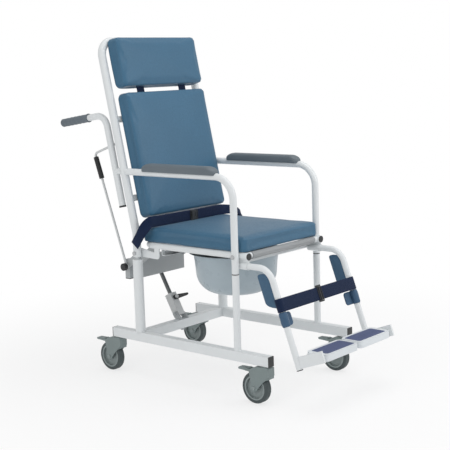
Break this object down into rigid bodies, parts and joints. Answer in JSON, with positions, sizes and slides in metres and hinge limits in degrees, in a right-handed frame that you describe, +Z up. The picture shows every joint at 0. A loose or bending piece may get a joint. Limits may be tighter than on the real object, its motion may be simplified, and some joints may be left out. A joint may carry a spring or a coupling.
{
  "type": "transfer chair",
  "caption": "Wheeled hygiene and transfer chair with a tilting padded seat and back, armrests, push handles, a sliding pan under the seat and a leg rest with flip-up footplates.",
  "frame": {"origin": "on the floor, under the middle of the chair's overall width and length", "axes": "+Z up; the chair faces -Y, so the push handles are on the +Y side; +X is the sitter's left"},
  "size_m": [0.517, 1.2012, 1.2628],
  "materials": {
    "frame_paint": "white powder coat, fine orange peel, satin",
    "footplate_plastic": "white moulded plastic, softly glossy",
    "black_plastic": "black moulded plastic, fine texture",
    "black_rubber": "black rubber, matt",
    "grey_paint": "grey enamel over plate",
    "cast_alloy": "satin extruded aluminium",
    "dark_rod": "dark oiled steel",
    "bolt_steel": "zinc-plated steel",
    "bright_steel": "pale grey painted rod",
    "caster_plastic": "grey-green moulded polyamide, semi-matt",
    "tyre_rubber": "dark grey soft rubber tread",
    "grip_rubber": "slate grey ribbed rubber",
    "arm_foam": "slate grey integral-skin foam, fine grain",
    "seat_vinyl": "slate blue coated upholstery vinyl, soft sheen",
    "navy_web": "navy woven webbing",
    "calf_vinyl": "blue coated fabric over foam",
    "pan_plastic": "pale blue-grey moulded plastic",
    "mat_rubber": "muted navy ribbed rubber"
  },
  "bodies": {
    "base": {"rail_right": "frame_paint", "rail_left": "frame_paint", "rail_caps": "black_plastic", "cross_tube": "frame_paint", "rear_post_right": "frame_paint", "rear_post_left": "frame_paint", "front_post_right": "frame_paint", "front_post_left": "frame_paint", "post_stops": "black_rubber", "strut_bracket": "grey_paint"},
    "tilt_frame": {"back_frame": "frame_paint", "seat_frame": "frame_paint", "tube_plugs": "black_plastic", "side_frame_right": "frame_paint", "side_frame_left": "frame_paint", "handle_grips": "grip_rubber", "armrest_pads": "arm_foam", "frame_bolts": "bolt_steel", "strut_yoke": "grey_paint", "seat_cushion": "seat_vinyl", "back_cushion": "seat_vinyl", "head_cushion": "seat_vinyl", "head_straps": "navy_web", "lap_belt": "navy_web", "lap_buckle": "black_plastic", "release_bracket": "grey_paint", "release_knob": "black_plastic", "pan_guides": "frame_paint"},
    "strut_housing": {"strut_housing": "cast_alloy"},
    "strut_rod": {"strut_rod": "dark_rod"},
    "strut_lever": {"strut_lever": "black_plastic"},
    "release": {"release_lever": "bright_steel", "release_grip": "black_rubber"},
    "pan": {"pan": "pan_plastic"},
    "leg_rest": {"leg_right": "frame_paint", "leg_left": "frame_paint", "calf_pads": "calf_vinyl", "calf_strap": "navy_web", "strap_buckle": "black_plastic", "leg_plugs": "black_plastic"},
    "footplate_right": {"footplate_right": "footplate_plastic", "foot_mat_right": "mat_rubber"},
    "footplate_left": {"footplate_left": "footplate_plastic", "foot_mat_left": "mat_rubber"},
    "caster_front_right": {"fork_front_right": "caster_plastic"},
    "wheel_front_right": {"hub_front_right": "caster_plastic", "tyre_front_right": "tyre_rubber"},
    "pedal_front_right": {"pedal_front_right": "caster_plastic"},
    "caster_front_left": {"fork_front_left": "caster_plastic"},
    "wheel_front_left": {"hub_front_left": "caster_plastic", "tyre_front_left": "tyre_rubber"},
    "pedal_front_left": {"pedal_front_left": "caster_plastic"},
    "caster_rear_right": {"fork_rear_right": "caster_plastic"},
    "wheel_rear_right": {"hub_rear_right": "caster_plastic", "tyre_rear_right": "tyre_rubber"},
    "pedal_rear_right": {"pedal_rear_right": "caster_plastic"},
    "caster_rear_left": {"fork_rear_left": "caster_plastic"},
    "wheel_rear_left": {"hub_rear_left": "caster_plastic", "tyre_rear_left": "tyre_rubber"},
    "pedal_rear_left": {"pedal_rear_left": "caster_plastic"}
  },
  "joints": [
    {"name": "tilt", "type": "hinge", "parent": "base", "child": "tilt_frame", "pos_m": [0, 0.22238, 0.47], "axis": [-1, 0, 0], "range_deg": [0, 20]},
    {"name": "strut_swivel", "type": "hinge", "parent": "base", "child": "strut_housing", "pos_m": [0, 0.24838, 0.19], "axis": [1, 0, 0], "range_deg": [0, 6.5]},
    {"name": "strut_slide", "type": "slide", "parent": "strut_housing", "child": "strut_rod", "axis": [0, -0.494, -0.8695], "range_m": [0, 0.0532]},
    {"name": "strut_clamp", "type": "hinge", "parent": "strut_housing", "child": "strut_lever", "pos_m": [0, 0.26475, 0.25201], "axis": [0, -0.8695, 0.494], "range_deg": [0, 60]},
    {"name": "swivel_front_right", "type": "hinge", "parent": "base", "child": "caster_front_right", "pos_m": [-0.236, -0.37462, 0.1], "axis": [0, 0, 1], "continuous": true},
    {"name": "wheel_front_right", "type": "hinge", "parent": "caster_front_right", "child": "wheel_front_right", "pos_m": [-0.236, -0.33062, 0.055], "axis": [1, 0, 0], "continuous": true},
    {"name": "pedal_front_right", "type": "hinge", "parent": "caster_front_right", "child": "pedal_front_right", "pos_m": [-0.236, -0.29592, 0.1151], "axis": [-1, 0, 0], "range_deg": [0, 20]},
    {"name": "swivel_front_left", "type": "hinge", "parent": "base", "child": "caster_front_left", "pos_m": [0.236, -0.37462, 0.1], "axis": [0, 0, 1], "continuous": true},
    {"name": "wheel_front_left", "type": "hinge", "parent": "caster_front_left", "child": "wheel_front_left", "pos_m": [0.236, -0.33062, 0.055], "axis": [1, 0, 0], "continuous": true},
    {"name": "pedal_front_left", "type": "hinge", "parent": "caster_front_left", "child": "pedal_front_left", "pos_m": [0.236, -0.29592, 0.1151], "axis": [-1, 0, 0], "range_deg": [0, 20]},
    {"name": "swivel_rear_right", "type": "hinge", "parent": "base", "child": "caster_rear_right", "pos_m": [-0.236, 0.33938, 0.1], "axis": [0, 0, 1], "continuous": true},
    {"name": "wheel_rear_right", "type": "hinge", "parent": "caster_rear_right", "child": "wheel_rear_right", "pos_m": [-0.236, 0.38338, 0.055], "axis": [1, 0, 0], "continuous": true},
    {"name": "pedal_rear_right", "type": "hinge", "parent": "caster_rear_right", "child": "pedal_rear_right", "pos_m": [-0.236, 0.41808, 0.1151], "axis": [-1, 0, 0], "range_deg": [0, 20]},
    {"name": "swivel_rear_left", "type": "hinge", "parent": "base", "child": "caster_rear_left", "pos_m": [0.236, 0.33938, 0.1], "axis": [0, 0, 1], "continuous": true},
    {"name": "wheel_rear_left", "type": "hinge", "parent": "caster_rear_left", "child": "wheel_rear_left", "pos_m": [0.236, 0.38338, 0.055], "axis": [1, 0, 0], "continuous": true},
    {"name": "pedal_rear_left", "type": "hinge", "parent": "caster_rear_left", "child": "pedal_rear_left", "pos_m": [0.236, 0.41808, 0.1151], "axis": [-1, 0, 0], "range_deg": [0, 20]},
    {"name": "release_squeeze", "type": "hinge", "parent": "tilt_frame", "child": "release", "pos_m": [-0.2185, 0.30038, 0.408], "axis": [-1, 0, 0], "range_deg": [0, 10], "stiffness_Nm_per_rad": 4, "springref_deg": -8.59},
    {"name": "pan_slide", "type": "slide", "parent": "tilt_frame", "child": "pan", "axis": [-1, 0, 0], "range_m": [0, 0.36]},
    {"name": "leg_rest_slide", "type": "slide", "parent": "tilt_frame", "child": "leg_rest", "axis": [0, -1, 0], "range_m": [0, 0.04]},
    {"name": "footplate_flip_right", "type": "hinge", "parent": "leg_rest", "child": "footplate_right", "pos_m": [-0.1965, -0.55334, 0.19221], "axis": [0, -1, 0], "range_deg": [0, 90]},
    {"name": "footplate_flip_left", "type": "hinge", "parent": "leg_rest", "child": "footplate_left", "pos_m": [0.1965, -0.55334, 0.19221], "axis": [0, 1, 0], "range_deg": [0, 90]}
  ],
  "couplings": [
    {"joint": "strut_swivel", "follows": "tilt", "ratio": 0.32157},
    {"joint": "strut_slide", "follows": "tilt", "m_per_rad": 0.15222}
  ]
}
